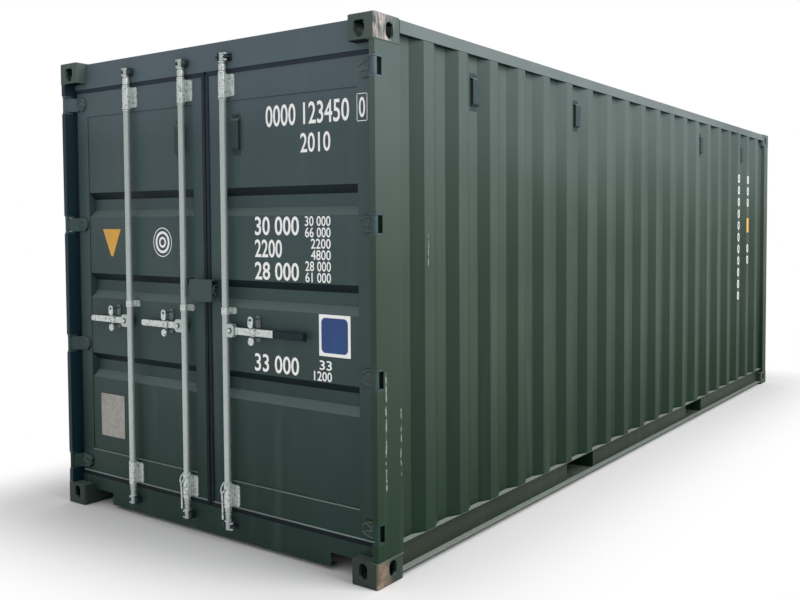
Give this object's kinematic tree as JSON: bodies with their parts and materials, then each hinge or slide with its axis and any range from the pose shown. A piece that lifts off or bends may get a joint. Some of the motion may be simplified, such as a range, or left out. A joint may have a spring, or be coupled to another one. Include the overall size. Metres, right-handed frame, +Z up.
{
  "type": "freight container",
  "caption": "Steel freight container, twenty feet long, with ridged walls, corner castings, fork pockets and two end doors on locking bars.",
  "frame": {"origin": "centre of the base, at ground level", "axes": "+Z up, +Y from the doors to the blind end, +X to the right when facing the doors"},
  "size_m": [2.438, 6.058, 2.591],
  "materials": {
    "green_paint": "satin",
    "galvanised_steel": "matt galvanised",
    "seal_rubber": "matt",
    "grip_plastic": "matt",
    "floor_plywood": "oiled",
    "vent_plastic": "matt"
  },
  "bodies": {
    "container": {"bottom_corner_castings": "green_paint", "top_corner_castings": "green_paint", "door_posts": "green_paint", "end_posts": "green_paint", "door_header": "green_paint", "door_sill": "green_paint", "end_top_rail": "green_paint", "end_bottom_rail": "green_paint", "top_side_rails": "green_paint", "bottom_side_rails": "green_paint", "left_side_wall": "green_paint", "right_side_wall": "green_paint", "end_wall": "green_paint", "roof": "green_paint", "floor": "floor_plywood", "cross_members": "green_paint", "fork_pockets": "green_paint", "hinge_lugs": "green_paint", "bar_keepers": "green_paint", "side_vents": "vent_plastic"},
    "left_door": {"left_door_frame": "green_paint", "left_door_panel": "green_paint", "left_door_seal": "seal_rubber", "left_hinge_blades": "green_paint", "left_bar_brackets": "galvanised_steel", "left_handle_retainers": "galvanised_steel", "left_lock_box": "green_paint", "left_door_vent": "vent_plastic"},
    "right_door": {"right_door_frame": "green_paint", "right_door_panel": "green_paint", "right_door_seal": "seal_rubber", "right_hinge_blades": "green_paint", "right_bar_brackets": "galvanised_steel", "right_handle_retainers": "galvanised_steel", "right_lock_box": "green_paint", "right_door_vent": "vent_plastic"},
    "left_outer_bar": {"left_outer_bar": "galvanised_steel"},
    "left_inner_bar": {"left_inner_bar": "galvanised_steel"},
    "right_bar": {"right_bar": "galvanised_steel"},
    "left_outer_handle": {"left_outer_handle": "galvanised_steel"},
    "left_inner_handle": {"left_inner_handle": "galvanised_steel"},
    "right_handle": {"right_handle": "galvanised_steel", "right_handle_grip": "grip_plastic"},
    "left_outer_catch": {"left_outer_catch": "galvanised_steel"},
    "left_inner_catch": {"left_inner_catch": "galvanised_steel"},
    "right_catch": {"right_catch": "galvanised_steel"}
  },
  "joints": [
    {"name": "left_door_hinge", "type": "hinge", "parent": "container", "child": "left_door", "pos_m": [-1.203, -3.012, 1.29], "axis": [0, 0, -1], "range_deg": [0, 267]},
    {"name": "right_door_hinge", "type": "hinge", "parent": "container", "child": "right_door", "pos_m": [1.203, -3.012, 1.29], "axis": [0, 0, 1], "range_deg": [0, 267]},
    {"name": "left_outer_bar_turn", "type": "hinge", "parent": "left_door", "child": "left_outer_bar", "pos_m": [-0.638, -2.993, 1.112], "axis": [0, 0, -1], "range_deg": [-110, 0]},
    {"name": "left_outer_handle_lift", "type": "hinge", "parent": "left_outer_bar", "child": "left_outer_handle", "pos_m": [-0.68, -2.993, 1.112], "axis": [0, -1, 0], "range_deg": [-18, 0]},
    {"name": "left_outer_catch_swing", "type": "hinge", "parent": "left_door", "child": "left_outer_catch", "pos_m": [-0.786, -3.011, 1.178], "axis": [0, -1, 0], "range_deg": [-100, 0]},
    {"name": "left_inner_bar_turn", "type": "hinge", "parent": "left_door", "child": "left_inner_bar", "pos_m": [-0.162, -2.993, 1.112], "axis": [0, 0, -1], "range_deg": [-110, 0]},
    {"name": "left_inner_handle_lift", "type": "hinge", "parent": "left_inner_bar", "child": "left_inner_handle", "pos_m": [-0.204, -2.993, 1.112], "axis": [0, -1, 0], "range_deg": [-18, 0]},
    {"name": "left_inner_catch_swing", "type": "hinge", "parent": "left_door", "child": "left_inner_catch", "pos_m": [-0.31, -3.011, 1.178], "axis": [0, -1, 0], "range_deg": [-100, 0]},
    {"name": "right_bar_turn", "type": "hinge", "parent": "right_door", "child": "right_bar", "pos_m": [0.168, -2.993, 1.112], "axis": [0, 0, 1], "range_deg": [-110, 0]},
    {"name": "right_handle_lift", "type": "hinge", "parent": "right_bar", "child": "right_handle", "pos_m": [0.21, -2.993, 1.112], "axis": [0, 1, 0], "range_deg": [-12, 0]},
    {"name": "right_catch_swing", "type": "hinge", "parent": "right_door", "child": "right_catch", "pos_m": [0.379, -3.011, 1.178], "axis": [0, 1, 0], "range_deg": [-100, 0]}
  ]
}
